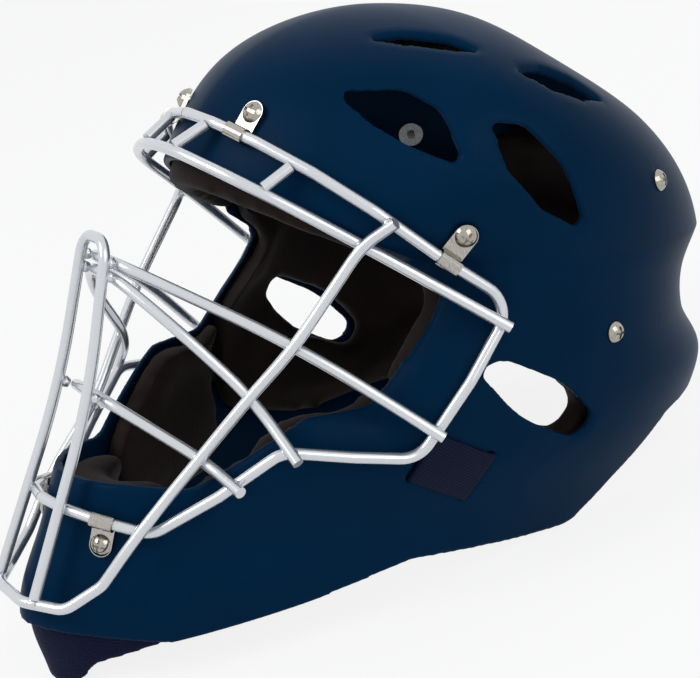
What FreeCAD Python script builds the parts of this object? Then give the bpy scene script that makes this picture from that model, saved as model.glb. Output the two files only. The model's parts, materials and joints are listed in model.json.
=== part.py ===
import FreeCAD, Part
import math
import os

# Baseball catcher's helmet: a one-piece moulded shell with a face opening, a welded wire cage
# held by six screwed clips, foam pads inside, a throat guard under the chin and two elastic straps.
# Everything is drawn upright on the wearer's head: +X is the wearer's left, the face looks along -Y
# and +Z is up. At the end it is tipped back the way it sits on a table, on its chin and rear corners.

doc = FreeCAD.newDocument("catcher_helmet")
sheet = doc.addObject("Spreadsheet::Sheet", "Sizes")
V = FreeCAD.Vector

# Driving dimensions in millimetres and degrees, each written once
SIZES = {
    # shell form: height, front, back, half width and nose sharpness of each level below the dome
    "throat_height": -140, "throat_front": -150, "throat_back": 140, "throat_half": 62, "throat_nose": 1.80,
    "chin_height": -100, "chin_front": -161.5, "chin_back": 150, "chin_half": 77, "chin_nose": 1.84,
    "jaw_height": -60, "jaw_front": -149.5, "jaw_back": 166, "jaw_half": 90, "jaw_nose": 1.70,
    "cheek_height": -30, "cheek_front": -139.5, "cheek_back": 175, "cheek_half": 101, "cheek_nose": 1.85,
    "nape_height": -10, "nape_front": -127, "nape_back": 178.5, "nape_half": 105, "nape_nose": 1.95,
    "ear_height": 12, "ear_front": -116, "ear_back": 163, "ear_half": 106, "ear_nose": 1.90,
    "eye_height": 32, "eye_front": -108, "eye_back": 162, "eye_half": 105, "eye_nose": 1.75,
    "temple_height": 50, "temple_front": -100.5, "temple_back": 170.5, "temple_half": 106, "temple_nose": 1.60,
    "back_roundness": 2.1, "widest_low": 20, "widest_high": 45,
    # dome above the temples: its top and how full it is at 30, 55 and 90 degrees of rise
    "dome_top": 149.7, "dome_centre": 14.0,
    "front_full_low": 0.94, "front_full_mid": 0.98, "front_full_top": 0.97,
    "back_full_low": 0.86, "back_full_mid": 0.71, "back_full_top": 1.01,
    "side_full_low": 1.15, "side_full_mid": 1.22, "side_full_top": 1.01,
    "shell_wall": 3.6,
    # lower rim of the shell, seen from the side
    "rim_chin_height": -98, "rim_lip_y": -143, "rim_lip_height": -103,
    "rim_throat_y": -114, "rim_throat_height": -106, "rim_jaw_y": -62, "rim_jaw_height": -92,
    "rim_cheek_y": -18, "rim_cheek_height": -77, "rim_corner_y": 64, "rim_corner_height": -75,
    "rim_nape_y": 118, "rim_nape_height": -31, "rim_back_height": -9, "rim_round": 14,
    # face opening, seen from the side
    "brow_front_y": -95, "brow_front_height": 95, "brow_temple_y": -8, "brow_temple_height": 40,
    "temple_edge_y": -15, "temple_edge_height": 28, "cheek_edge_y": -42, "cheek_edge_height": -6,
    "jaw_edge_y": -68, "jaw_edge_height": -9, "chin_edge_y": -108, "chin_edge_height": -42,
    "chin_front_y": -128, "chin_front_height": -39, "opening_round": 9,
    # ear hole and vents: middle, length, tilt, where the upper and lower corners stand, then the
    # radii of the two tips and of the corners between them
    "ear_hole_y": 30.5, "ear_hole_height": -6.5, "ear_hole_length": 68, "ear_hole_tilt": -24.5,
    "ear_hole_upper_at": -8, "ear_hole_rise": 8.6, "ear_hole_lower_at": 11, "ear_hole_drop": 12,
    "ear_hole_spread": 34, "ear_hole_round": 8, "ear_hole_soft": 60,
    "brow_vent_y": -22.5, "brow_vent_height": 104.8, "brow_vent_length": 45, "brow_vent_tilt": -39,
    "brow_vent_upper_at": 0, "brow_vent_rise": 15, "brow_vent_lower_at": -3, "brow_vent_drop": 4.5,
    "brow_vent_spread": 12, "brow_vent_round": 3, "brow_vent_soft": 8,
    "side_vent_y": 27.5, "side_vent_height": 84.8, "side_vent_length": 62, "side_vent_tilt": -49,
    "side_vent_upper_at": -10, "side_vent_rise": 9.5, "side_vent_lower_at": -4, "side_vent_drop": 9.5,
    "side_vent_spread": 22, "side_vent_round": 3, "side_vent_soft": 9,
    "top_vent_low": 85, "top_vent_x": 53.5, "top_vent_y": 2, "top_vent_length": 53, "top_vent_tilt": 50.5,
    "top_vent_upper_at": 2, "top_vent_rise": 5, "top_vent_lower_at": 4, "top_vent_drop": 4.6,
    "top_vent_spread": 20, "top_vent_round": 2, "top_vent_soft": 14,
    "back_vent_x": 81.5, "back_vent_y": 52, "back_vent_length": 48, "back_vent_tilt": 89,
    "back_vent_upper_at": 3, "back_vent_rise": 6.5, "back_vent_lower_at": -2, "back_vent_drop": 8.5,
    "back_vent_spread": 14, "back_vent_round": 2, "back_vent_soft": 14,
    # cage: wire, and how the ring stands off the shell
    "wire_diameter": 4.8, "ring_standoff": 2.2, "wire_overrun": 3.0, "weld_sink": 0.1,
    "ring_front_height": 105, "ring_temple_y": 14, "ring_temple_height": 35,
    "ring_ear_y": -26, "ring_ear_height": -25, "ring_cheek_y": -77, "ring_cheek_height": -20,
    "ring_jaw_y": -119, "ring_jaw_height": -57, "ring_chin_height": -50, "ring_bend": 13,
    # centre bars, from the bend at the top down to the chin loop
    "peak_x": 11.5, "peak_y": -123, "peak_height": 59, "peak_bend": 9,
    "knee_x": 15.5, "knee_y": -134.5, "knee_height": -5, "foot_x": 19,
    # heights at which the inner bars pass behind the centre bars
    "eye_bar_height": 50, "jaw_bar_height": 44.4, "cross_bar_height": -5,
    # places where the side bars cross the inner bars, in the plane between the two wires
    "brow_crossing_x": 79.2, "brow_crossing_y": -42.6, "brow_crossing_height": 60.3,
    "eye_crossing_x": 72.5, "eye_crossing_y": -69, "eye_crossing_height": 21,
    "jaw_crossing_x": 62, "jaw_crossing_y": -84.5, "jaw_crossing_height": -1,
    "cross_crossing_x": 51, "cross_crossing_y": -101.5, "cross_crossing_height": -27,
    # places on the ring where the bars end, seen from the side
    "brow_end_y": 8, "brow_end_height": 27, "eye_end_y": -21, "eye_end_height": -13,
    "jaw_end_y": -73, "jaw_end_height": -20.5, "cross_end_y": -92, "cross_end_height": -33,
    "side_end_y": -31.7, "side_end_height": 69.4,
    # brow bar in front of the forehead, and the jaw bar's bow
    "brow_bar_front_x": 13, "brow_bar_front_y": -94, "brow_bar_front_height": 95,
    "brow_bar_bow_x": 50, "brow_bar_bow_y": -81, "brow_bar_bow_height": 85,
    "jaw_bar_bow_x": 40, "jaw_bar_bow_y": -107, "jaw_bar_bow_height": 27,
    "centre_strut_top_x": 17, "centre_strut_low_x": 12.5, "side_strut_top_x": 58, "side_strut_low_x": 54,
    # chin loop of the side bars
    "loop_height": -88, "loop_shoulder_x": 40, "loop_shoulder_y": -142, "loop_shoulder_height": -77,
    "loop_corner_x": 31, "loop_corner_y": -155, "loop_front_x": 13, "loop_front_y": -166.5, "loop_bend": 11,
    "side_bar_chin_y": -122, "side_bar_chin_height": -54.5, "foot_setback": 3.2,
    # clips and screws
    "clip_width": 10, "clip_sheet": 0.9, "clip_lift": 0.5, "clip_hole": 4.4, "clip_clearance": 0.05,
    "screw_head_diameter": 9.4, "screw_head_height": 2.8, "screw_shank_diameter": 4.0,
    "screw_recess_length": 5.4, "screw_recess_width": 1.3, "screw_recess_depth": 1.6,
    "nut_barrel_diameter": 6.2, "nut_flange_diameter": 12.5, "nut_flange": 1.2,
    "thread_clearance": 0.05, "hole_clearance": 0.3, "seat_gap": 0.3, "head_gap": 0.02, "shank_overrun": 1,
    "brow_screw_x": 30.5, "brow_screw_height": 109, "temple_screw_y": -5, "temple_screw_height": 64,
    "chin_screw_x": 27.5, "chin_screw_height": -64, "high_screw_y": 95, "high_screw_height": 78,
    "low_screw_y": 69, "low_screw_height": 16,
    # padding
    "pad_gap": 0.5, "pad_thickness": 14, "chin_pad_thickness": 19, "pad_round": 9,
    "nut_pocket_clearance": 1, "nut_pocket_spare": 2.5,
    "forehead_pad_low": 84, "forehead_pad_end_y": -30, "forehead_pad_end_height": 49,
    "forehead_pad_rear_y": -18, "forehead_pad_rear_height": 67,
    "forehead_pad_top_y": -52, "forehead_pad_top_height": 128,
    "crown_pad_half": 31, "crown_pad_front": -34, "crown_pad_back": 84,
    "back_pad_half": 62, "back_pad_low": 12, "back_pad_high": 84, "back_pad_front_y": 60,
    "side_pad_brow_y": -25, "side_pad_brow_height": 49, "side_pad_crest_y": -13.5, "side_pad_crest_height": 66,
    "side_pad_top_y": 34, "side_pad_top_height": 54, "side_pad_rear_y": 118, "side_pad_rear_height": 66,
    "side_pad_nape_y": 118, "side_pad_nape_height": -4, "side_pad_heel_y": 76, "side_pad_heel_height": -48,
    "side_pad_low_y": 20, "side_pad_low_height": -58, "side_pad_jaw_y": -29, "side_pad_jaw_height": -48,
    "side_pad_cheek_y": -30.5, "side_pad_cheek_height": 5, "side_pad_edge_y": -14, "side_pad_edge_height": 28,
    "side_pad_temple_y": -7, "side_pad_temple_height": 40,
    "jaw_pad_chin_y": -104, "jaw_pad_chin_height": -45, "jaw_pad_edge_y": -70, "jaw_pad_edge_height": -10.5,
    "jaw_pad_cheek_y": -44, "jaw_pad_cheek_height": -7.5, "jaw_pad_top_y": -33, "jaw_pad_top_height": 5,
    "jaw_pad_rear_y": -33, "jaw_pad_rear_height": -50, "jaw_pad_heel_y": -44, "jaw_pad_heel_height": -74,
    "jaw_pad_toe_y": -94, "jaw_pad_toe_height": -82,
    "chin_pad_half": 36, "chin_pad_low": -82, "chin_pad_high": -43, "chin_pad_back_y": -106,
    # throat guard
    "guard_gap": 0.3, "guard_thickness": 4.5, "guard_round": 4, "guard_top": -84,
    "guard_bottom": -131, "guard_lip_y": -143, "guard_slope_y": -138, "guard_slope_height": -118.5,
    "guard_end_y": -112,
    # elastic straps between two slots
    "strap_width": 24, "strap_thickness": 1.6, "strap_gap": 0.3, "slot_clearance": 0.6,
    "strap_front_y": -22, "strap_front_height": -27, "strap_back_y": 4, "strap_back_height": -39.5,
    "strap_tail": 3,
}
for row, (name, value) in enumerate(SIZES.items(), start=1):
    cell = "A%d" % row
    sheet.set(cell, str(value))
    sheet.setAlias(cell, name)
doc.recompute()


def dim(name):
    """A driving dimension read from the sheet."""
    return float(sheet.get(name))


WALL = dim("shell_wall")
WIRE = dim("wire_diameter")


# Form of the shell

LEVELS = ("throat", "chin", "jaw", "cheek", "nape", "ear", "eye", "temple")
HEIGHTS = [dim(level + "_height") for level in LEVELS]
DOME_BASE = HEIGHTS[-1]
DOME_RISE = dim("dome_top") - DOME_BASE
DOME_ANGLES = (0, 30, 55, 90)


def smooth(stations, values, at):
    """Value at a place on the smooth curve through the stations (three-point slopes)."""
    at = min(max(at, stations[0]), stations[-1])
    count = len(stations)
    chord = [(values[i + 1] - values[i]) / (stations[i + 1] - stations[i]) for i in range(count - 1)]
    slope = [chord[0]]
    for i in range(1, count - 1):
        before = stations[i] - stations[i - 1]
        after = stations[i + 1] - stations[i]
        slope.append((chord[i - 1] * after + chord[i] * before) / (before + after))
    slope.append(chord[-1])
    i = max(k for k in range(count - 1) if stations[k] <= at)
    gap = stations[i + 1] - stations[i]
    u = (at - stations[i]) / gap
    rise = (2 * u ** 3 - 3 * u ** 2 + 1) * values[i] + (3 * u ** 2 - 2 * u ** 3) * values[i + 1]
    bend = (u ** 3 - 2 * u ** 2 + u) * slope[i] + (u ** 3 - u ** 2) * slope[i + 1]
    return rise + gap * bend


def level_form(level):
    """Height, front, back, half width, widest place and nose power at a level.

    Levels 0 to 1 climb from the throat to the temples and 1 to 2 climb the dome.
    """
    rise = math.radians(90 * max(level - 1, 0))
    height = HEIGHTS[0] + (DOME_BASE - HEIGHTS[0]) * min(level, 1) + DOME_RISE * math.sin(rise)
    low = min(height, DOME_BASE)
    form = {}
    for key in ("front", "back", "half", "nose"):
        form[key] = smooth(HEIGHTS, [dim("%s_%s" % (name, key)) for name in LEVELS], low)
    share = (low - HEIGHTS[0]) / (DOME_BASE - HEIGHTS[0])
    widest = dim("widest_low") + (dim("widest_high") - dim("widest_low")) * share
    centre = dim("dome_centre")
    full = {}
    for key in ("front", "back", "side"):
        steps = [1.0] + [dim("%s_full_%s" % (key, place)) for place in ("low", "mid", "top")]
        full[key] = smooth(DOME_ANGLES, steps, math.degrees(rise)) * math.cos(rise)
    if level > 1:
        form["front"] = centre + (form["front"] - centre) * full["front"]
        form["back"] = centre + (form["back"] - centre) * full["back"]
        form["half"] = form["half"] * full["side"]
        widest = widest + (centre - widest) * math.sin(rise)
    return height, form["front"], form["back"], form["half"], widest, form["nose"]


FORM_CACHE = {}


def form_at(level):
    if level not in FORM_CACHE:
        FORM_CACHE[level] = level_form(level)
    return FORM_CACHE[level]


def raw_point(bearing, level):
    """Point of the outer surface; the bearing is 0 in front, 90 at the wearer's left, 180 behind."""
    height, front, back, half, widest, nose = form_at(level)
    side = math.sin(math.radians(bearing))
    ahead = math.cos(math.radians(bearing))
    power = nose if ahead > 0 else dim("back_roundness")
    x = half * math.copysign(abs(side) ** (2 / power), side)
    reach = (widest - front) if ahead > 0 else (back - widest)
    y = widest - math.copysign(reach * abs(ahead) ** (2 / power), ahead)
    return V(x, y, height)


def skin_normal(bearing, level):
    """Unit normal that points out of the shell."""
    turn = 2.0
    climb = 0.004
    low = max(level - climb, 0)
    high = min(level + climb, 1.998)
    along = raw_point(bearing + turn, level) - raw_point(bearing - turn, level)
    up = raw_point(bearing, high) - raw_point(bearing, low)
    normal = along.cross(up)
    normal.normalize()
    return normal


def skin_point(bearing, level, outward=0.0):
    """Point a distance outside the outer surface; a negative distance lies inside it."""
    point = raw_point(bearing, level)
    if outward:
        point = point + skin_normal(bearing, level) * outward
    return point


def level_at(height):
    """Level whose section lies at a height."""
    if height <= DOME_BASE:
        return (height - HEIGHTS[0]) / (DOME_BASE - HEIGHTS[0])
    return 1 + math.degrees(math.asin(min((height - DOME_BASE) / DOME_RISE, 1))) / 90


def bearing_at(y, level):
    """Bearing on the wearer's left at which a section reaches y."""
    height, front, back, half, widest, nose = form_at(level)
    if y < widest:
        share = min(max((widest - y) / (widest - front), 0), 1)
        return math.degrees(math.acos(share ** (nose / 2)))
    share = min(max((y - widest) / (back - widest), 0), 1)
    return 180 - math.degrees(math.acos(share ** (dim("back_roundness") / 2)))


def side_skin(y, height, outward=0.0):
    """Point above the shell's left side, given where it is seen from the side."""
    level = level_at(height)
    return skin_point(bearing_at(y, level), level, outward)


SECTION_POINTS = 24
LOW_LEVELS = 13
DOME_LEVELS = 7


def skin_solid(outward):
    """Solid bounded by the surface a distance outside the shell's outer surface."""
    wires = []
    levels = [i / LOW_LEVELS for i in range(LOW_LEVELS)] + [1 + i / DOME_LEVELS for i in range(DOME_LEVELS)]
    levels.append(1.96)
    for number, level in enumerate(levels):
        points = []
        for step in range(SECTION_POINTS):
            point = skin_point(180 + 360.0 * step / SECTION_POINTS, level, outward)
            if number == 0:
                point.z = HEIGHTS[0]
            points.append(point)
        curve = Part.BSplineCurve()
        curve.interpolate(Points=points, PeriodicFlag=True)
        wires.append(Part.Wire([curve.toShape()]))
    top = V(0, dim("dome_centre"), dim("dome_top") + outward)
    return Part.makeLoft(wires + [Part.Vertex(top)], True, False)


# Outlines and cutters

REACH = 260.0


def rounded_outline(points, radii):
    """Closed planar wire through the points with each corner rounded as far as its runs allow."""
    edges = []
    starts = []
    ends = []
    count = len(points)
    for i in range(count):
        corner = points[i]
        before = points[i - 1] - corner
        after = points[(i + 1) % count] - corner
        half_turn = before.getAngle(after) / 2
        shortest = min(before.Length, after.Length)
        step = min(radii[i] / math.tan(half_turn), 0.45 * shortest)
        before.normalize()
        after.normalize()
        start = corner + before * step
        end = corner + after * step
        middle_way = before + after
        if middle_way.Length < 1e-3:
            middle = corner
        else:
            middle_way.normalize()
            fit = step * math.tan(half_turn)
            middle = corner + middle_way * (fit / math.sin(half_turn) - fit)
        edges.append(Part.Arc(start, middle, end).toShape())
        starts.append(start)
        ends.append(end)
    outline = []
    for i in range(count):
        outline.append(edges[i])
        outline.append(Part.LineSegment(ends[i], starts[(i + 1) % count]).toShape())
    return Part.Wire(outline)


def corner_radii(radius, count):
    """One radius for every corner, or the list of radii as it is given."""
    return radius if isinstance(radius, list) else [radius] * count


def side_prism(places, radius, left, right):
    """Block between two x positions whose outline is given by (y, height) places."""
    wire = rounded_outline([V(left, y, height) for y, height in places], corner_radii(radius, len(places)))
    return Part.Face(wire).extrude(V(right - left, 0, 0))


def top_prism(places, radius, bottom, top):
    """Upright block whose outline is given by (x, y) places."""
    wire = rounded_outline([V(x, y, bottom) for x, y in places], corner_radii(radius, len(places)))
    return Part.Face(wire).extrude(V(0, 0, top - bottom))


def mirrored(shape):
    """The same shape on the wearer's right."""
    return shape.mirror(V(0, 0, 0), V(1, 0, 0))


def add_part(name, shape):
    """Sub-part with a shape of its own, drawn upright on the head."""
    piece = doc.addObject("Part::Feature", name)
    piece.Label = name
    piece.Shape = shape
    sub_parts.append(piece)
    return piece


sub_parts = []

# Moulded shell: one skin of even wall, open at the face and below, with an ear hole,
# four vents and two strap slots on each side, and ten screw holes

def window_corners(name, across, up):
    """Six corners of an almond-shaped window with pointed ends, in the plane it is seen in."""
    half = dim(name + "_length") / 2
    spread = dim(name + "_spread") / 2
    turn = math.radians(dim(name + "_tilt"))
    upper = dim(name + "_upper_at")
    lower = dim(name + "_lower_at")
    rise = dim(name + "_rise")
    drop = -dim(name + "_drop")
    corners = [(-half, 0), (upper - spread, rise), (upper + spread, rise),
               (half, 0), (lower + spread, drop), (lower - spread, drop)]
    return [(across + u * math.cos(turn) - v * math.sin(turn),
             up + u * math.sin(turn) + v * math.cos(turn)) for u, v in corners]


INSIDE_X = 25.0


def window_radii(name):
    """Tight radii at the two tips and softer ones at the corners between them."""
    tip = dim(name + "_round")
    soft = dim(name + "_soft")
    return [tip, soft, soft, tip, soft, soft]


def side_window(name):
    """Cutter through the left wall for a window that is seen from the side."""
    corners = window_corners(name, dim(name + "_y"), dim(name + "_height"))
    return side_prism(corners, window_radii(name), INSIDE_X, REACH)


def top_window(name):
    """Cutter through the dome for a vent that is seen from above."""
    corners = window_corners(name, dim(name + "_x"), dim(name + "_y"))
    return top_prism(corners, window_radii(name), dim("top_vent_low"), REACH)


def skin_frame(point_bearing, level, along):
    """Placement on the skin whose Z points outward and whose Y runs along a direction."""
    normal = skin_normal(point_bearing, level)
    across = along.cross(normal)
    across.normalize()
    forward = normal.cross(across)
    return FreeCAD.Placement(raw_point(point_bearing, level),
                             FreeCAD.Rotation(across, forward, normal, "ZXY"))


def bearing_of_x(x, level):
    """Bearing in front at which a section reaches x."""
    height, front, back, half, widest, nose = form_at(level)
    return math.degrees(math.asin((x / half) ** (nose / 2)))


def front_place(x, height):
    level = level_at(height)
    return bearing_of_x(x, level), level


def side_place(y, height):
    level = level_at(height)
    return bearing_at(y, level), level


def placed(shape, placement):
    copy = shape.copy()
    copy.Placement = placement.multiply(copy.Placement)
    return copy


rim_outline = [
    (-REACH, dim("rim_chin_height")), (dim("rim_lip_y"), dim("rim_lip_height")),
    (dim("rim_throat_y"), dim("rim_throat_height")), (dim("rim_jaw_y"), dim("rim_jaw_height")),
    (dim("rim_cheek_y"), dim("rim_cheek_height")), (dim("rim_corner_y"), dim("rim_corner_height")),
    (dim("rim_nape_y"), dim("rim_nape_height")), (REACH, dim("rim_back_height")),
    (REACH, REACH), (-REACH, REACH),
]
face_outline = [
    (-REACH, REACH), (dim("brow_front_y"), dim("brow_front_height")),
    (dim("brow_temple_y"), dim("brow_temple_height")), (dim("temple_edge_y"), dim("temple_edge_height")),
    (dim("cheek_edge_y"), dim("cheek_edge_height")), (dim("jaw_edge_y"), dim("jaw_edge_height")),
    (dim("chin_edge_y"), dim("chin_edge_height")), (dim("chin_front_y"), dim("chin_front_height")),
    (-REACH, dim("chin_front_height")),
]

ring_lift = dim("ring_standoff") + WIRE / 2
clip_screw_places = {
    "brow": front_place(dim("brow_screw_x"), dim("brow_screw_height")),
    "temple": side_place(dim("temple_screw_y"), dim("temple_screw_height")),
    "chin": front_place(dim("chin_screw_x"), dim("chin_screw_height")),
}
back_screw_places = [side_place(dim(name + "_screw_y"), dim(name + "_screw_height"))
                     for name in ("high", "low")]
screw_places = list(clip_screw_places.values()) + back_screw_places
UP = V(0, 0, 1)
screw_frames = [skin_frame(bearing, level, UP) for bearing, level in screw_places]

# Strap slots stand across the strap at its two ends
strap_ends = [side_place(dim("strap_%s_y" % end), dim("strap_%s_height" % end)) for end in ("front", "back")]
strap_run = raw_point(*strap_ends[1]) - raw_point(*strap_ends[0])
strap_frames = [skin_frame(bearing, level, strap_run) for bearing, level in strap_ends]
slot_long = dim("strap_width") + 2 * dim("slot_clearance")
slot_wide = dim("strap_thickness") + 2 * dim("slot_clearance")
slot_deep = 4 * WALL
slot_cutter = Part.makeBox(slot_long, slot_wide, slot_deep, V(-slot_long / 2, -slot_wide / 2, -slot_deep / 2))

hole_radius = dim("nut_barrel_diameter") / 2 + dim("hole_clearance")
hole_cutter = Part.makeCylinder(hole_radius, slot_deep, V(0, 0, -slot_deep / 2))

left_cutters = [side_window(name) for name in ("ear_hole", "brow_vent", "side_vent")]
left_cutters += [top_window(name) for name in ("top_vent", "back_vent")]
left_cutters += [placed(slot_cutter, frame) for frame in strap_frames]
left_cutters += [placed(hole_cutter, frame) for frame in screw_frames]
rim_block = side_prism(rim_outline, dim("rim_round"), 0, REACH)
face_block = side_prism(face_outline, dim("opening_round"), -1, REACH)
left_shell = skin_solid(0.0).common(rim_block).cut([skin_solid(-WALL), face_block] + left_cutters)
add_part("outer_shell", left_shell.fuse(mirrored(left_shell)))

# Cage of one size of steel wire. The ring hugs the shell, the bars lie outside it at their ends,
# and the centre bars and side bars lie outside the bars that they cross, welded at each crossing

OVER_RING = ring_lift + WIRE - dim("weld_sink")


def bent_path(points, bends):
    """Open path of straight runs joined by tangent arcs, as wire is bent.

    A bend radius of 0 takes the gentlest arc that the two runs beside the corner allow.
    """
    edges = []
    here = points[0]
    for i in range(1, len(points) - 1):
        corner = points[i]
        bend = bends[i - 1]
        before = points[i - 1] - corner
        after = points[i + 1] - corner
        half_turn = (math.pi - before.getAngle(after)) / 2
        shortest = min(before.Length, after.Length)
        step = min(bend * math.tan(half_turn), 0.45 * shortest)
        if bend == 0:
            step = 0.45 * shortest
        before.normalize()
        after.normalize()
        start = corner + before * step
        end = corner + after * step
        inward = before + after
        inward.normalize()
        radius = step / math.tan(half_turn)
        middle = corner + inward * (radius / math.cos(half_turn) - radius)
        edges.append(Part.LineSegment(here, start).toShape())
        edges.append(Part.Arc(start, middle, end).toShape())
        here = end
    edges.append(Part.LineSegment(here, points[-1]).toShape())
    return Part.Wire(edges)


def wire_solid(points, bends=None):
    """Round wire along a bent path."""
    path = bent_path(points, bends or [0] * len(points))
    start = points[0]
    section = Part.Wire([Part.makeCircle(WIRE / 2, start, points[1] - start)])
    solid = path.makePipeShell([section], True, False)
    return solid


def mirror_point(point):
    return V(-point.x, point.y, point.z)


def across_face(half_points):
    """Route over both sides, from the points of the left half that start in the middle."""
    return [mirror_point(point) for point in reversed(half_points)] + list(half_points)


def ring_place(y, height):
    return side_skin(y, height, ring_lift)


def ring_leg(start, end, count, from_front=False, to_front=False):
    """Places along a leg of the ring that is straight from the side, closer together in front."""
    places = []
    for step in range(count):
        share = step / count
        if from_front:
            share = share ** 2
        if to_front:
            share = 1 - (1 - share) ** 2
        places.append((start[0] + (end[0] - start[0]) * share, start[1] + (end[1] - start[1]) * share))
    return places


def front_y(height):
    return raw_point(0, level_at(height)).y


ring_corners = {
    "brow": (front_y(dim("ring_front_height")), dim("ring_front_height")),
    "temple": (dim("ring_temple_y"), dim("ring_temple_height")),
    "ear": (dim("ring_ear_y"), dim("ring_ear_height")),
    "cheek": (dim("ring_cheek_y"), dim("ring_cheek_height")),
    "jaw": (dim("ring_jaw_y"), dim("ring_jaw_height")),
    "chin": (front_y(dim("ring_chin_height")), dim("ring_chin_height")),
}
ring_places = ring_leg(ring_corners["brow"], ring_corners["temple"], 6, from_front=True)
ring_places += ring_leg(ring_corners["temple"], ring_corners["ear"], 2)
ring_places += ring_leg(ring_corners["ear"], ring_corners["cheek"], 2)
ring_places += ring_leg(ring_corners["cheek"], ring_corners["jaw"], 2)
ring_places += ring_leg(ring_corners["jaw"], ring_corners["chin"], 3, to_front=True)
ring_places.append(ring_corners["chin"])
ring_half = [ring_place(y, height) for y, height in ring_places]
half_ring = wire_solid(ring_half, [dim("ring_bend")] * len(ring_half))
add_part("cage_ring", half_ring.fuse(mirrored(half_ring)))

# Centre bars: one wire bent over at the top, both feet on the chin loop
loop_level = dim("loop_height")
foot = V(dim("foot_x"), dim("loop_front_y") + dim("foot_setback"), loop_level + WIRE / 2)
knee = V(dim("knee_x"), dim("knee_y"), dim("knee_height"))
peak = V(dim("peak_x"), dim("peak_y"), dim("peak_height"))
bars_half = [peak, knee, foot]
add_part("cage_centre_bars", wire_solid(across_face(bars_half), [0, dim("peak_bend"), dim("peak_bend"), 0]))


def behind_centre_bar(height):
    """Point just behind the left centre bar at a height, where an inner bar is welded to it."""
    top, low = (peak, knee) if height > knee.z else (knee, foot)
    share = (height - low.z) / (top.z - low.z)
    point = low + (top - low) * share
    point.y = point.y + WIRE - dim("weld_sink")
    return point


def crossing(name):
    return V(dim(name + "_crossing_x"), dim(name + "_crossing_y"), dim(name + "_crossing_height"))


def over_ring(name):
    return side_skin(dim(name + "_end_y"), dim(name + "_end_height"), OVER_RING)


def past_end(point, end):
    """A wire's end, run on a little beyond the ring."""
    way = end - point
    way.normalize()
    return end + way * dim("wire_overrun")


inner_starts = {
    "brow": V(dim("brow_bar_bow_x"), dim("brow_bar_bow_y"), dim("brow_bar_bow_height")),
    "eye": behind_centre_bar(dim("eye_bar_height")),
    "jaw": V(dim("jaw_bar_bow_x"), dim("jaw_bar_bow_y"), dim("jaw_bar_bow_height")),
    "cross": behind_centre_bar(dim("cross_bar_height")),
}
names = ("brow", "eye", "jaw", "cross")
crossings = [crossing(name) for name in names]
side_top = side_skin(dim("side_end_y"), dim("side_end_height"), OVER_RING)
side_chin = side_skin(dim("side_bar_chin_y"), dim("side_bar_chin_height"), OVER_RING)
side_points = [side_top] + crossings + [side_chin]
inner_points = {}
outer_points = []
for i, name in enumerate(names):
    side_way = side_points[i + 2] - side_points[i]
    bar_way = over_ring(name) - inner_starts[name]
    apart = bar_way.cross(side_way)
    apart.normalize()
    if apart.x < 0:
        apart = apart * -1
    shift = (WIRE - dim("weld_sink")) / 2
    inner_points[name] = crossings[i] - apart * shift
    outer_points.append(crossings[i] + apart * shift)

# Inner bars, from the middle of the face to their ends on the ring
brow_front = V(dim("brow_bar_front_x"), dim("brow_bar_front_y"), dim("brow_bar_front_height"))
jaw_start = behind_centre_bar(dim("jaw_bar_height"))
inner_routes = {
    "brow": [brow_front, inner_starts["brow"], inner_points["brow"]],
    "eye": [inner_starts["eye"], inner_points["eye"]],
    "jaw": [jaw_start, inner_starts["jaw"], inner_points["jaw"]],
    "cross": [inner_starts["cross"], inner_points["cross"]],
}
for name, route in inner_routes.items():
    end = over_ring(name)
    route = route + [past_end(route[-1], end)]
    add_part("cage_%s_bar" % name, wire_solid(across_face(route)))

# Side bars: one wire from the ring at the temples, over every inner bar, round the chin and back
shoulder = V(dim("loop_shoulder_x"), dim("loop_shoulder_y"), dim("loop_shoulder_height"))
loop_corner = V(dim("loop_corner_x"), dim("loop_corner_y"), loop_level)
loop_front = V(dim("loop_front_x"), dim("loop_front_y"), loop_level)
side_half = [loop_front, loop_corner, shoulder, side_chin] + list(reversed(outer_points))
side_half.append(past_end(outer_points[0], side_top))
half_bends = [dim("loop_bend")] * 3 + [0] * (len(side_half) - 4)
add_part("cage_side_bars", wire_solid(across_face(side_half), list(reversed(half_bends)) + half_bends))


def strut(start, end):
    """Short straight wire between two bars, cut to butt against both."""
    way = end - start
    way.normalize()
    trim = WIRE / 2 - dim("weld_sink")
    length = (end - start).Length - 2 * trim
    return Part.makeCylinder(WIRE / 2, length, start + way * trim, way)


def bar_place(route, x):
    """Point of a route, taken as straight runs, at a distance from the middle."""
    for start, end in zip(route, route[1:]):
        if start.x <= x <= end.x:
            return start + (end - start) * ((x - start.x) / (end.x - start.x))
    return route[0]


ring_route = ring_half[:7]
brow_route = [V(0, brow_front.y, brow_front.z)] + inner_routes["brow"]
struts = []
for name in ("centre", "side"):
    top = bar_place(ring_route, dim(name + "_strut_top_x"))
    low = bar_place(brow_route, dim(name + "_strut_low_x"))
    struts.append(strut(top, low))
add_part("cage_brow_struts", Part.makeCompound(struts + [mirrored(piece) for piece in struts]))

# Spring-steel clips: a strip folded round the ring, its two ends flat together under a screw


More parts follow.
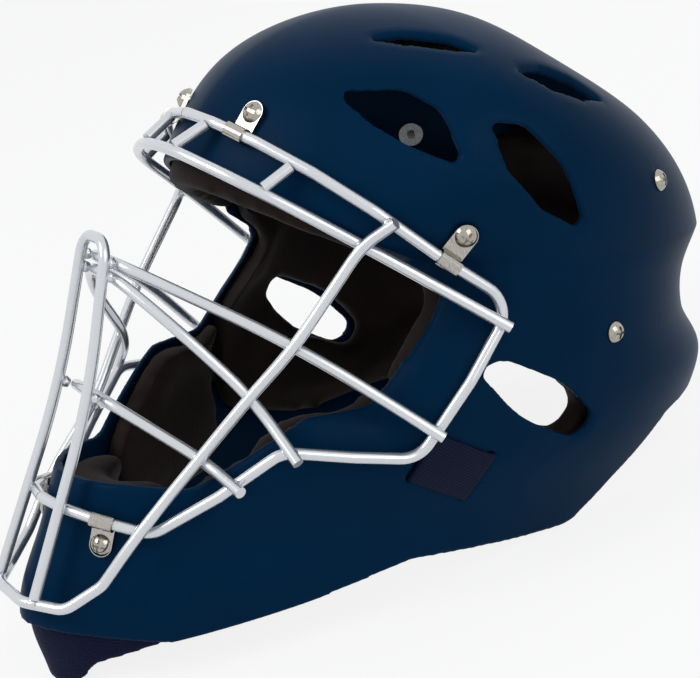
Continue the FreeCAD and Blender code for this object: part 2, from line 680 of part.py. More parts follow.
def clip_frame(screw_bearing, level):
    """Placement of a clip: origin under the screw, Y away from the ring, Z out of the shell."""
    screw = raw_point(screw_bearing, level)
    nearest = None
    for point, following in zip(ring_half, ring_half[1:]):
        for step in range(20):
            on_ring = point + (following - point) * (step / 20.0)
            if nearest is None or (on_ring - screw).Length < (nearest - screw).Length:
                nearest = on_ring
                ring_way = following - point
    out = skin_normal(screw_bearing, level)
    ring_way.normalize()
    away = out.cross(ring_way)
    if away.dot(screw - nearest) < 0:
        away = away * -1
    foot_of_ring = nearest - out * ring_lift
    away = screw - foot_of_ring
    across = away.cross(out)
    across.normalize()
    away.normalize()
    out = across.cross(away)
    turn = FreeCAD.Rotation(across, away, out, "ZXY")
    frame = FreeCAD.Placement(screw, turn)
    return frame, frame.inverse().multVec(nearest)


def clip_solid(ring_at):
    """Clip drawn in its own frame, with the ring's middle at ring_at."""
    sheet_thick = dim("clip_sheet")
    width = dim("clip_width")
    bore = WIRE / 2 + dim("clip_clearance")
    low = dim("clip_lift")
    wrap = Part.makeCylinder(bore + sheet_thick, width, V(-width / 2, ring_at.y, ring_at.z), V(1, 0, 0))
    tongue = Part.makeBox(width, -ring_at.y, 2 * sheet_thick, V(-width / 2, ring_at.y, low))
    tip = Part.makeCylinder(width / 2, 2 * sheet_thick, V(0, 0, low))
    body = wrap.fuse([tongue, tip])
    ring_space = Part.makeCylinder(bore, 2 * width, V(-width, ring_at.y, ring_at.z), V(1, 0, 0))
    screw_space = Part.makeCylinder(dim("clip_hole") / 2, slot_deep, V(0, 0, -slot_deep / 2))
    return body.cut([ring_space, screw_space])


clip_frames = {}
for name, (bearing, level) in clip_screw_places.items():
    frame, ring_at = clip_frame(bearing, level)
    clip_frames[name] = frame
    solid = placed(clip_solid(ring_at), frame)
    add_part(name + "_clip_left", solid)
    add_part(name + "_clip_right", mirrored(solid))

# Screws with cross-recessed domed heads, and tee nuts that they turn into from inside the shell

head_height = dim("screw_head_height")
head_radius = dim("screw_head_diameter") / 2


def screw_solid(length):
    """Screw with its head's underside at the origin and its shank pointing down -Z."""
    dome_radius = (head_radius ** 2 + head_height ** 2) / (2 * head_height)
    dome = Part.makeSphere(dome_radius, V(0, 0, head_height - dome_radius))
    head = Part.makeCylinder(head_radius, head_height).common(dome)
    shank = Part.makeCylinder(dim("screw_shank_diameter") / 2, length, V(0, 0, -length))
    long = dim("screw_recess_length")
    narrow = dim("screw_recess_width")
    deep = dim("screw_recess_depth")
    slot = Part.makeBox(long, narrow, deep, V(-long / 2, -narrow / 2, head_height - deep))
    cross = slot.fuse(slot.rotated(V(0, 0, 0), V(0, 0, 1), 90))
    return head.fuse(shank).cut(cross)


def nut_solid():
    """Tee nut with its flange against the inside of the shell, one wall below the origin."""
    flange_top = -WALL - dim("seat_gap")
    barrel_radius = dim("nut_barrel_diameter") / 2
    flange = Part.makeCylinder(dim("nut_flange_diameter") / 2, dim("nut_flange"),
                               V(0, 0, flange_top - dim("nut_flange")))
    barrel = Part.makeCylinder(barrel_radius, WALL + dim("nut_flange"),
                               V(0, 0, flange_top - dim("nut_flange")))
    bore_radius = dim("screw_shank_diameter") / 2 + dim("thread_clearance")
    bore = Part.makeCylinder(bore_radius, slot_deep, V(0, 0, -slot_deep / 2))
    return flange.fuse(barrel).cut(bore)


clip_seat = dim("clip_lift") + 2 * dim("clip_sheet") + dim("head_gap")
back_seat = dim("seat_gap")
clip_screws = []
clip_nuts = []
for name, frame in clip_frames.items():
    seat = FreeCAD.Placement(V(0, 0, clip_seat), FreeCAD.Rotation())
    shank = clip_seat + WALL + dim("seat_gap") + dim("nut_flange") + dim("shank_overrun")
    clip_screws.append(placed(screw_solid(shank), frame.multiply(seat)))
    clip_nuts.append(placed(nut_solid(), frame))
back_screws = []
back_nuts = []
for bearing, level in back_screw_places:
    frame = skin_frame(bearing, level, UP)
    seat = FreeCAD.Placement(V(0, 0, back_seat), FreeCAD.Rotation())
    shank = back_seat + WALL + dim("seat_gap") + dim("nut_flange") + dim("shank_overrun")
    back_screws.append(placed(screw_solid(shank), frame.multiply(seat)))
    back_nuts.append(placed(nut_solid(), frame))
fastener_groups = {"clip_screws": clip_screws, "clip_tee_nuts": clip_nuts,
                   "back_screws": back_screws, "back_tee_nuts": back_nuts}
for name, left in fastener_groups.items():
    add_part(name, Part.makeCompound(left + [mirrored(piece) for piece in left]))

# Foam pads against the inside of the shell, with pockets where the tee nuts stand

PAD_OUTER = -WALL - dim("pad_gap")
pad_outer_solid = skin_solid(PAD_OUTER)
pad_inner_solid = skin_solid(PAD_OUTER - dim("pad_thickness"))
chin_inner_solid = skin_solid(PAD_OUTER - dim("chin_pad_thickness"))
pocket_radius = dim("nut_flange_diameter") / 2 + dim("nut_pocket_clearance")
pocket_deep = WALL + dim("nut_flange") + dim("nut_pocket_spare")
pocket = Part.makeCylinder(pocket_radius, pocket_deep, V(0, 0, -pocket_deep))
pockets = [placed(pocket, frame) for frame in list(clip_frames.values()) + screw_frames[-2:]]


def pad(block, inner=None):
    """Pad that fills the layer behind the shell inside a block."""
    layer = pad_outer_solid.common(block)
    left = [space for space in pockets if space.BoundBox.intersect(block.BoundBox)]
    right = [mirrored(space) for space in pockets]
    right = [space for space in right if space.BoundBox.intersect(block.BoundBox)]
    return layer.cut([inner or pad_inner_solid] + left + right)


def front_prism(places, radius, start, end):
    """Block between two y positions whose outline is given by (x, height) places."""
    wire = rounded_outline([V(x, start, height) for x, height in places], corner_radii(radius, len(places)))
    return Part.Face(wire).extrude(V(0, end - start, 0))


def rectangle(left, right, low, high):
    return [(left, low), (right, low), (right, high), (left, high)]


def pad_outline(name, corners):
    """Corners of a pad as it is seen from the side."""
    keys = ["%s_pad_%s" % (name, corner) for corner in corners]
    return [(dim(key + "_y"), dim(key + "_height")) for key in keys]


pad_round = dim("pad_round")
brow_line = [(-REACH, dim("forehead_pad_top_height")), (-REACH, dim("forehead_pad_low")),
             (dim("brow_front_y"), dim("forehead_pad_low"))]
brow_line += pad_outline("forehead", ("end", "rear", "top"))
add_part("forehead_pad", pad(side_prism(brow_line, pad_round, -REACH, REACH)))
crown = rectangle(-dim("crown_pad_half"), dim("crown_pad_half"), dim("crown_pad_front"), dim("crown_pad_back"))
add_part("crown_pad", pad(top_prism(crown, 3 * pad_round, DOME_BASE, REACH)))
back = rectangle(-dim("back_pad_half"), dim("back_pad_half"), dim("back_pad_low"), dim("back_pad_high"))
add_part("back_pad", pad(front_prism(back, 2 * pad_round, dim("back_pad_front_y"), REACH)))
ear_corners = ("brow", "crest", "top", "rear", "nape", "heel", "low", "jaw", "cheek", "edge", "temple")
ear_block = side_prism(pad_outline("side", ear_corners), pad_round, INSIDE_X, REACH)
strap_spaces = [placed(slot_cutter, frame) for frame in strap_frames]
ear_pad = pad(ear_block).cut([side_window("ear_hole")] + strap_spaces)
add_part("side_pad_left", ear_pad)
add_part("side_pad_right", mirrored(ear_pad))
jaw_corners = ("chin", "edge", "cheek", "top", "rear", "heel", "toe")
jaw_pad = pad(side_prism(pad_outline("jaw", jaw_corners), pad_round, INSIDE_X, REACH))
add_part("jaw_pad_left", jaw_pad)
add_part("jaw_pad_right", mirrored(jaw_pad))
chin = rectangle(-dim("chin_pad_half"), dim("chin_pad_half"), dim("chin_pad_low"), dim("chin_pad_high"))
chin_block = front_prism(chin, pad_round, -REACH, dim("chin_pad_back_y"))
add_part("chin_pad", pad(chin_block, chin_inner_solid))

# Throat guard: a flexible skirt inside the chin that hangs below the shell's rim

guard_outline = [(-REACH, dim("guard_top")), (-REACH, dim("guard_bottom")),
                 (dim("guard_lip_y"), dim("guard_bottom")), (dim("guard_slope_y"), dim("guard_slope_height")),
                 (dim("guard_end_y"), dim("rim_throat_height")), (dim("guard_end_y"), dim("guard_top"))]
guard_block = side_prism(guard_outline, dim("guard_round"), -REACH, REACH)
guard_outer = -WALL - dim("guard_gap")
guard = skin_solid(guard_outer).common(guard_block).cut(skin_solid(guard_outer - dim("guard_thickness")))
add_part("throat_guard", guard)

# Elastic straps: a short run outside the shell, both ends turned in through slots

strap_low = skin_solid(dim("strap_gap"))
strap_high = skin_solid(dim("strap_gap") + dim("strap_thickness"))
strap_long = strap_run.Length + dim("strap_thickness")
mid_bearing, mid_level = side_place((dim("strap_front_y") + dim("strap_back_y")) / 2,
                                    (dim("strap_front_height") + dim("strap_back_height")) / 2)
strap_frame = skin_frame(mid_bearing, mid_level, strap_run)
strap_wide = dim("strap_width")
strap_corner = V(-strap_wide / 2, -strap_long / 2, -slot_deep / 2)
strap_block = Part.makeBox(strap_wide, strap_long, slot_deep, strap_corner)
band = strap_high.common(placed(strap_block, strap_frame)).cut(strap_low)
leg_deep = WALL + dim("strap_gap") + dim("strap_thickness") / 2 + dim("strap_tail")
thick = dim("strap_thickness")
leg = Part.makeBox(strap_wide, thick, leg_deep,
                   V(-strap_wide / 2, -thick / 2, dim("strap_gap") + thick / 2 - leg_deep))
strap = band.fuse([placed(leg, frame) for frame in strap_frames])
add_part("elastic_strap_left", strap)
add_part("elastic_strap_right", mirrored(strap))

# Rest: the helmet tips back until the throat guard and the shell's two rear corners share a table

REST_DETAIL = 0.1
guard_points = guard.tessellate(REST_DETAIL)[0]
shell_points = [point for point in left_shell.tessellate(REST_DETAIL)[0] if point.y > 0]


def turned_back(point, pitch):
    """Where a point comes when the helmet is tipped back about the wearer's ear-to-ear axis."""
    lean = math.radians(pitch)
    return V(point.x, point.y * math.cos(lean) + point.z * math.sin(lean),
             point.z * math.cos(lean) - point.y * math.sin(lean))


def lowest(points, pitch):
    return min(turned_back(point, pitch).z for point in points)


least_pitch = 5.0
most_pitch = 30.0
while most_pitch - least_pitch > 1e-4:
    pitch = (least_pitch + most_pitch) / 2
    if lowest(guard_points, pitch) < lowest(shell_points, pitch):
        least_pitch = pitch
    else:
        most_pitch = pitch
tip = FreeCAD.Rotation(V(1, 0, 0), -pitch)
reach = [turned_back(point, pitch).y for piece in sub_parts for point in piece.Shape.tessellate(REST_DETAIL)[0]]
settle = V(0, -(min(reach) + max(reach)) / 2, -lowest(guard_points, pitch))
REST = FreeCAD.Placement(settle, tip)
for piece in sub_parts:
    piece.Placement = REST.multiply(piece.Placement)
print("tipped back", round(pitch, 2), "degrees, moved", round(settle.y, 2), round(settle.z, 2))

# Checks and export

doc.recompute()
for item in doc.Objects:
    if "Invalid" in item.State or "Error" in item.State:
        raise RuntimeError("%s did not build" % item.Name)
for piece in sub_parts:
    if piece.Shape.isNull() or not piece.Shape.isValid():
        raise RuntimeError("%s has a bad shape" % piece.Label)

os.makedirs("parts", exist_ok=True)
for piece in sub_parts:
    piece.Shape.exportStep("parts/%s.step" % piece.Label)
    print(piece.Label, len(piece.Shape.Solids), round(piece.Shape.Volume))
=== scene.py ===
import json
import math
import bmesh
import bpy
import numpy as np
from mathutils import Matrix, Vector, kdtree


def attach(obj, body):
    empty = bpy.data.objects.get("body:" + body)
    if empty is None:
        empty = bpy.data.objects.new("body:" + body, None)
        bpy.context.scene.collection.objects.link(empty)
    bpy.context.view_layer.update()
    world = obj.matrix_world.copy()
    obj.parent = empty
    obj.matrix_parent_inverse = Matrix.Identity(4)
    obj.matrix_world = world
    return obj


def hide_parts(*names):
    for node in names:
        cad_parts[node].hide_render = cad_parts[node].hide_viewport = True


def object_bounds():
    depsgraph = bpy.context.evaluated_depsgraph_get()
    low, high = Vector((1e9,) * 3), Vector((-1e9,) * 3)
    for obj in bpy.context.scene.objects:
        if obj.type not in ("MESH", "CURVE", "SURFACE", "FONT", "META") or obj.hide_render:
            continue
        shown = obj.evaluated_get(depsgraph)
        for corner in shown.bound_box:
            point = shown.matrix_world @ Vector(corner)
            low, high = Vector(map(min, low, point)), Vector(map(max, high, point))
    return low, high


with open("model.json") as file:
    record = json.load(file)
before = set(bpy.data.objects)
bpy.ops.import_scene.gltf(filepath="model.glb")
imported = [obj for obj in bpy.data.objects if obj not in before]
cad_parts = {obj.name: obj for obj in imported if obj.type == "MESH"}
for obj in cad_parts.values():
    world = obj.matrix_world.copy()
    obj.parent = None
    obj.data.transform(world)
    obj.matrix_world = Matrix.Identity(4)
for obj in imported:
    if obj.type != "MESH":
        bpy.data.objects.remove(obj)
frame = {"nodes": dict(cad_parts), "record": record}
cad_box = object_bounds()
mm = 0.001


# Viewpoint and studio. The helmet is drawn tipped back as it rests, on its throat guard and two
# rear corners, and is seen from the wearer's left front and a little above, from 0.82 m away.
# A pale floor and a white surround stand behind it, and large soft lamps light it evenly.
throat_rest = frame["record"]["mounts"][0]
down_on_head = Vector(throat_rest["axis"])
tip_back = math.atan2(-down_on_head.y, -down_on_head.z)
head_turn = Matrix.Rotation(-tip_back, 3, "X")
GUARD_FOOT = Vector((0, -146.4, -131)) * mm        # middle of the guard's flat lower edge, upright
head_shift = Vector(throat_rest["pos_m"]) - head_turn @ GUARD_FOOT
head_matrix = Matrix.Translation(head_shift) @ head_turn.to_4x4()


def from_head(points):
    """Places on the upright head, in millimetres, as places in the resting frame in metres."""
    points = np.asarray(points, float) * mm
    return points @ np.array(head_turn).T + np.array(head_shift)


def to_head(points):
    """Places in the resting frame, in metres, as places on the upright head in millimetres."""
    return (np.asarray(points, float) - np.array(head_shift)) @ np.array(head_turn) / mm


VIEW_TURN = math.radians(58.8)
VIEW_RISE = math.radians(13.8)
VIEW_DISTANCE = 0.818
SENSOR_WIDTH = 36
LENS_PER_SENSOR = 1800 / 700        # focal length over picture width
level_reach = math.cos(VIEW_RISE)
back = Vector((math.sin(VIEW_TURN) * level_reach, -math.cos(VIEW_TURN) * level_reach,
               math.sin(VIEW_RISE)))
right = Vector((math.cos(VIEW_TURN), math.sin(VIEW_TURN), 0))
camera_axes = Matrix((right, back.cross(right), back)).transposed().to_4x4()
camera_data = bpy.data.cameras.new("camera")
camera_data.sensor_width = SENSOR_WIDTH
camera_data.lens = LENS_PER_SENSOR * SENSOR_WIDTH
camera = bpy.data.objects.new("camera", camera_data)
camera.matrix_world = head_matrix @ Matrix.Translation(back * VIEW_DISTANCE) @ camera_axes
bpy.context.scene.collection.objects.link(camera)
bpy.context.scene.camera = camera
bpy.context.scene.view_settings.view_transform = "Standard"


def linear(hex_colour):
    """sRGB hex as a linear colour."""
    parts = [int(hex_colour[i:i + 2], 16) / 255 for i in (1, 3, 5)]
    return [c / 12.92 if c <= 0.04045 else ((c + 0.055) / 1.055) ** 2.4 for c in parts] + [1.0]


def add_node(tree, kind, links=(), **settings):
    """A node with its settings and links; a setting named like a socket sets the socket."""
    node = tree.nodes.new(kind)
    for name, value in settings.items():
        if hasattr(node, name):
            setattr(node, name, value)
        else:
            node.inputs[name.replace("_", " ")].default_value = value
    for socket, source in dict(links).items():
        tree.links.new(source, node.inputs[socket])
    return node


def new_material(name, **values):
    """A node material, its tree, its shader with some values, and object coordinates in metres."""
    material = bpy.data.materials.new(name)
    material.use_nodes = True
    tree = material.node_tree
    tree.nodes.clear()
    shader = add_node(tree, "ShaderNodeBsdfPrincipled")
    for socket, value in values.items():
        shader.inputs[socket.replace("_", " ")].default_value = value
    add_node(tree, "ShaderNodeOutputMaterial", {"Surface": shader.outputs[0]})
    place = add_node(tree, "ShaderNodeTexCoord").outputs["Object"]
    return material, tree, shader, place


def ramp(tree, source, stops):
    """A colour ramp with stops given as (position, sRGB hex)."""
    node = add_node(tree, "ShaderNodeValToRGB", {"Fac": source})
    elements = node.color_ramp.elements
    while len(elements) < len(stops):
        elements.new(0.5)
    for element, (position, colour) in zip(elements, stops):
        element.position = position
        element.color = linear(colour)
    return node.outputs["Color"]


def raised(tree, shader, height, strength, distance):
    """Fine relief on a material's surface, its distance in metres."""
    bump = add_node(tree, "ShaderNodeBump", {"Height": height}, Strength=strength, Distance=distance)
    tree.links.new(bump.outputs[0], shader.inputs["Normal"])


def seen_white(tree):
    """1 for rays that show or mirror the studio, and 0 for those that only light the helmet."""
    rays = add_node(tree, "ShaderNodeLightPath").outputs
    seen = rays["Is Camera Ray"]
    for kind in ("Is Glossy Ray", "Is Transmission Ray"):
        seen = add_node(tree, "ShaderNodeMath", {0: seen, 1: rays[kind]}, operation="MAXIMUM").outputs[0]
    return seen


world = bpy.data.worlds.new("studio")
world.use_nodes = True
bpy.context.scene.world = world
studio = world.node_tree
studio.nodes.clear()
fill = add_node(studio, "ShaderNodeBackground", Color=linear("#EEF1F5"), Strength=0.5)
surround = add_node(studio, "ShaderNodeBackground", Color=linear("#FFFFFF"), Strength=1.0)
mixed = add_node(studio, "ShaderNodeMixShader",
                 {0: seen_white(studio), 1: fill.outputs[0], 2: surround.outputs[0]})
add_node(studio, "ShaderNodeOutputWorld", {"Surface": mixed.outputs[0]})

FLOOR_REACH = 4.0
FLOOR_GLOW = 0.85
floor_mesh = bpy.data.meshes.new("floor")
floor_corners = [(x * FLOOR_REACH, y * FLOOR_REACH, 0) for x, y in ((-1, -1), (1, -1), (1, 1), (-1, 1))]
floor_mesh.from_pydata(floor_corners, [], [(0, 1, 2, 3)])
floor = bpy.data.objects.new("floor", floor_mesh)
bpy.context.scene.collection.objects.link(floor)
floor_paint, tree, shader, place = new_material(
    "matt_white_paper", Base_Color=linear("#F4F4F4"), Roughness=0.9, Specular_IOR_Level=0.1)
share = add_node(tree, "ShaderNodeMath", {0: seen_white(tree)}, operation="MULTIPLY")
share.inputs[1].default_value = FLOOR_GLOW
glow = add_node(tree, "ShaderNodeEmission", Color=linear("#FFFFFF"), Strength=1.0)
paper = add_node(tree, "ShaderNodeMixShader",
                 {0: share.outputs[0], 1: shader.outputs[0], 2: glow.outputs[0]})
sheet_end = next(n for n in tree.nodes if n.bl_idname == "ShaderNodeOutputMaterial")
tree.links.new(paper.outputs[0], sheet_end.inputs["Surface"])
floor_mesh.materials.append(floor_paint)


def soft_lamp(name, place, aim, width, watts):
    """A square soft box aimed at a place, both in metres in the resting frame."""
    data = bpy.data.lights.new(name, "AREA")
    data.size = width
    data.energy = watts
    lamp = bpy.data.objects.new(name, data)
    lamp.location = place
    lamp.rotation_mode = "QUATERNION"
    lamp.rotation_quaternion = (Vector(aim) - Vector(place)).to_track_quat("-Z", "Y")
    bpy.context.scene.collection.objects.link(lamp)
    return lamp


middle = (cad_box[0] + cad_box[1]) / 2
soft_lamp("key", (-0.2, -1.15, 1.35), middle, 0.7, 9)
soft_lamp("side", (1.45, 0.25, 0.95), middle, 1.1, 6)
soft_lamp("rear", (-0.5, 1.5, 1.2), middle, 1.0, 4).visible_glossy = False


# Outer shell: one injection-moulded ABS skin, 3.6 mm thick, with a satin gloss. Its vents, ear
# holes and face opening have rounded edges, and beside the face opening the skin turns inward,
# so that the wire cage stands clear of it.

# Height, front, back, half width and nose sharpness of each level below the dome, in millimetres
LEVELS = np.array([
    (-140, -150, 140, 62, 1.80), (-100, -161.5, 150, 77, 1.84), (-60, -149.5, 166, 90, 1.70),
    (-30, -139.5, 175, 101, 1.85), (-10, -127, 178.5, 105, 1.95), (12, -116, 163, 106, 1.90),
    (32, -108, 162, 105, 1.75), (50, -100.5, 170.5, 106, 1.60)])
HEIGHTS = LEVELS[:, 0]
DOME_TOP = 149.7
DOME_RISE = DOME_TOP - HEIGHTS[-1]
DOME_CENTRE = 14.0
DOME_ANGLES = np.array((0.0, 30.0, 55.0, 90.0))
FRONT_FULL = np.array((1, 0.94, 0.98, 0.97))
BACK_FULL = np.array((1, 0.86, 0.71, 1.01))
SIDE_FULL = np.array((1, 1.15, 1.22, 1.01))
BACK_ROUND = 2.1
WIDEST_LOW = 20.0
WIDEST_HIGH = 45.0
WALL = 3.6
NEAR_TOP = 0.9999
SLOPE_STEP = 0.05


def smooth_curve(stations, values, at):
    """Values on the smooth curve through the stations (three-point slopes)."""
    gaps = np.diff(stations)
    chord = np.diff(values) / gaps
    inner = (chord[:-1] * gaps[1:] + chord[1:] * gaps[:-1]) / (gaps[:-1] + gaps[1:])
    slope = np.concatenate(([chord[0]], inner, [chord[-1]]))
    at = np.clip(at, stations[0], stations[-1])
    i = np.clip(np.searchsorted(stations, at, side="right") - 1, 0, len(gaps) - 1)
    gap = gaps[i]
    u = (at - stations[i]) / gap
    rise = (2 * u ** 3 - 3 * u ** 2 + 1) * values[i] + (3 * u ** 2 - 2 * u ** 3) * values[i + 1]
    bend = (u ** 3 - 2 * u ** 2 + u) * slope[i] + (u ** 3 - u ** 2) * slope[i + 1]
    return rise + gap * bend


def skin_level(points):
    """0 on the shell's outer surface, above 0 outside it and below 0 inside, for head places."""
    x, y, z = points.T
    low = np.minimum(z, HEIGHTS[-1])
    front, rear, half, nose = [smooth_curve(HEIGHTS, LEVELS[:, k], low) for k in (1, 2, 3, 4)]
    share = (low - HEIGHTS[0]) / (HEIGHTS[-1] - HEIGHTS[0])
    widest = WIDEST_LOW + (WIDEST_HIGH - WIDEST_LOW) * share
    climb = np.maximum(z - HEIGHTS[-1], 0) / DOME_RISE
    lift = np.minimum(climb, NEAR_TOP)
    angle = np.degrees(np.arcsin(lift))
    domed = z > HEIGHTS[-1]
    cos = np.sqrt(1 - lift ** 2)
    front_full, back_full, side_full = [smooth_curve(DOME_ANGLES, full, angle)
                                        for full in (FRONT_FULL, BACK_FULL, SIDE_FULL)]
    front = np.where(domed, DOME_CENTRE + (front - DOME_CENTRE) * front_full * cos, front)
    rear = np.where(domed, DOME_CENTRE + (rear - DOME_CENTRE) * back_full * cos, rear)
    half = np.where(domed, half * side_full, half)
    widest = widest + (DOME_CENTRE - widest) * lift
    ahead = y < widest
    power = np.where(ahead, nose, BACK_ROUND)
    reach = np.where(ahead, widest - front, rear - widest) / cos
    ring = (np.abs(x) / half) ** power + (np.abs(y - widest) / reach) ** power
    return (ring + 1e-12) ** (2 / power) + climb ** 2 - 1


def skin_slope(points):
    """Level and its slope at head places, from small steps."""
    level = skin_level(points)
    slope = np.empty_like(points)
    for k in range(3):
        ahead = points.copy()
        behind = points.copy()
        ahead[:, k] += SLOPE_STEP
        behind[:, k] -= SLOPE_STEP
        slope[:, k] = (skin_level(ahead) - skin_level(behind)) / (2 * SLOPE_STEP)
    return level, slope


def onto_skin(points, outward):
    """Head places moved onto the surface a distance outside the shell, and outward normals."""
    level, slope = skin_slope(points)
    normal = slope / np.linalg.norm(slope, axis=1)[:, None]
    spot = points - normal * outward
    for turn in range(4):
        level, slope = skin_slope(spot)
        spot = spot - slope * (level / (slope ** 2).sum(1))[:, None]
    normal = slope / np.linalg.norm(slope, axis=1)[:, None]
    return spot + normal * outward, normal


def fade(value, start, end):
    """0 at start and 1 at end, with a smooth run between them."""
    u = np.clip((value - start) / (end - start), 0, 1)
    return u * u * (3 - 2 * u)


def copy_of(node, name):
    """A new piece with a CAD node's mesh."""
    piece = bpy.data.objects.new(name, frame["nodes"][node].data.copy())
    piece.data.materials.clear()
    bpy.context.scene.collection.objects.link(piece)
    return piece


def modified(piece):
    """The piece with its modifiers applied."""
    graph = bpy.context.evaluated_depsgraph_get()
    mesh = bpy.data.meshes.new_from_object(piece.evaluated_get(graph))
    piece.modifiers.clear()
    piece.data = mesh
    return piece


def remeshed(piece, size):
    """The piece with even quads of a size in metres."""
    even = piece.modifiers.new("even", "REMESH")
    even.mode = "VOXEL"
    even.voxel_size = size
    return modified(piece)


def places_of(piece):
    """The piece's points on the upright head, in millimetres."""
    flat = np.empty(len(piece.data.vertices) * 3)
    piece.data.vertices.foreach_get("co", flat)
    return to_head(flat.reshape(-1, 3))


def set_places(piece, points):
    """The piece's points moved to places on the upright head."""
    piece.data.vertices.foreach_set("co", from_head(points).ravel())
    piece.data.update()


def edge_pairs(piece):
    """The two ends of each of the piece's edges."""
    pairs = np.empty(len(piece.data.edges) * 2, np.int64)
    piece.data.edges.foreach_get("vertices", pairs)
    return pairs.reshape(-1, 2)


def relaxed(points, pairs, turns, share=0.5):
    """Points drawn towards the middle of their neighbours."""
    count = np.bincount(pairs.ravel(), minlength=len(points))[:, None]
    for turn in range(turns):
        total = np.zeros_like(points)
        for k in range(3):
            total[:, k] = np.bincount(pairs[:, 0], points[pairs[:, 1], k], len(points))
            total[:, k] += np.bincount(pairs[:, 1], points[pairs[:, 0], k], len(points))
        points = points + (total / count - points) * share
    return points


LET_OUT = -0.52


def evened(points, pairs, turns):
    """Points freed of the grid's small steps: each turn draws them in and lets them out again."""
    for turn in range(turns):
        points = relaxed(relaxed(points, pairs, 1), pairs, 1, LET_OUT)
    return points


def finished(piece, material, slot, *nodes):
    """The piece shaded smooth, in its material, riding in place of CAD nodes. The slot argument is not
    used.
    """
    piece.data.materials.clear()
    piece.data.materials.append(material)
    piece.data.shade_smooth()
    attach(piece, "root")
    if nodes:
        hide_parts(*nodes)


SHELL_GRID = 1.1
SKIN_MARGIN = 0.4
MOST_FACING = 0.8        # a cut face looks across the skin, so it faces little along the normal
LEAST_VENT_SPAN = 32
shell = remeshed(copy_of("outer_shell", "moulded_shell"), SHELL_GRID * mm)
points = places_of(shell)
pairs = edge_pairs(shell)
level, slope = skin_slope(points)
steep = np.linalg.norm(slope, axis=1)
depth = level / steep
facing = np.empty(points.size)
shell.data.vertex_normals.foreach_get("vector", facing)
facing = (facing.reshape(-1, 3) @ np.array(head_turn) * slope).sum(1) / steep
inside_wall = (depth > SKIN_MARGIN - WALL) & (depth < -SKIN_MARGIN)
cut_face = inside_wall & (np.abs(facing) < MOST_FACING)

# The cut faces fall into one loop for each opening; screw holes and strap slots are the small ones
loop = np.full(len(points), -1)
members = {}
neighbours = {i: [] for i in np.flatnonzero(cut_face)}
for a, b in pairs[cut_face[pairs].all(1)]:
    neighbours[a].append(b)
    neighbours[b].append(a)
for start in neighbours:
    if loop[start] < 0:
        number = len(members)
        loop[start] = number
        heap = [start]
        members[number] = []
        while heap:
            here = heap.pop()
            members[number].append(here)
            for other in neighbours[here]:
                if loop[other] < 0:
                    loop[other] = number
                    heap.append(other)
spans = {n: np.ptp(points[m], axis=0) for n, m in members.items()}
rim = max(spans, key=lambda n: spans[n][1])
face = max((n for n in spans if n != rim), key=lambda n: spans[n][0])
vents = [n for n in spans if n not in (rim, face) and spans[n].max() > LEAST_VENT_SPAN]


def distance_to(indices):
    """Distance of every point from the nearest of some, in millimetres."""
    tree = kdtree.KDTree(len(indices))
    for k, i in enumerate(indices):
        tree.insert(points[i], k)
    tree.balance()
    return np.array([tree.find(p)[2] for p in points])


from_edge = distance_to(np.flatnonzero(cut_face))
from_vent = distance_to([i for n in vents for i in members[n]])
softened = relaxed(evened(points, pairs, 14), pairs, 2)
outer = np.where(np.abs(facing) > 0.5, facing > 0, depth > -WALL / 2)
clean = np.empty_like(points)
clean[outer] = onto_skin(points[outer], 0)[0]
clean[~outer] = onto_skin(points[~outer], -WALL)[0]
keep = fade(from_edge, 1.6, 3.2)[:, None]
points = softened * (1 - keep) + clean * keep
normal = onto_skin(points, 0)[1]

VENT_SINK = 0.5
VENT_ROUND = 5.0
FLANGE_REACH = 25.0
FLANGE_CURVE = 1.8
TURN_EVERYWHERE = 1.5
TURN_AT_JAW = 4.5
TURN_AT_TEMPLE = 10.5
FACE_EDGE = np.array([(-260, 200), (-95, 95), (-8, 40), (-15, 28), (-42, -6), (-68, -9),
                      (-108, -42), (-128, -39), (-260, -39)], float)


def turned_in(points):
    """How far the skin beside the face opening turns inward, in millimetres."""
    flat = points[:, 1:]
    nearest = np.full(len(points), 1e9)
    for start, end in zip(FACE_EDGE, FACE_EDGE[1:]):
        run = end - start
        share = np.clip(((flat - start) @ run) / (run @ run), 0, 1)
        away = flat - start - share[:, None] * run
        nearest = np.minimum(nearest, np.linalg.norm(away, axis=1))
    temple = fade(points[:, 1], -78, -34) * fade(points[:, 2], 62, 34)
    jaw = fade(points[:, 2], 30, -10) * fade(points[:, 1], -140, -110)
    most = TURN_EVERYWHERE + TURN_AT_JAW * jaw * (1 - temple) + TURN_AT_TEMPLE * temple
    return most * (1 - np.clip(nearest / FLANGE_REACH, 0, 1)) ** FLANGE_CURVE


sink = VENT_SINK * (1 - fade(from_vent, -1, VENT_ROUND)) + turned_in(points)
points = points - normal * sink[:, None]
set_places(shell, points)

# Satin ABS: navy through and through, evenly glossy, with the faint ripple of a moulded surface
satin_abs, tree, shader, place = new_material("satin_navy_abs", IOR=1.46, Specular_IOR_Level=0.03)
cloud = add_node(tree, "ShaderNodeTexNoise", {"Vector": place}, Scale=14.0, Detail=3.0)
tone = ramp(tree, cloud.outputs["Fac"], [(0.3, "#00233E"), (0.7, "#012846")])
tree.links.new(tone, shader.inputs["Base Color"])
RIPPLE_MM = 2.4
ripple = add_node(tree, "ShaderNodeTexNoise", {"Vector": place}, Scale=1 / (RIPPLE_MM * mm), Detail=1.0)
gloss = add_node(tree, "ShaderNodeMapRange", {"Value": cloud.outputs["Fac"]}, To_Min=0.33, To_Max=0.42)
tree.links.new(gloss.outputs[0], shader.inputs["Roughness"])
raised(tree, shader, ripple.outputs["Fac"], 0.05, 0.2 * mm)
finished(shell, satin_abs, "shell", "outer_shell")


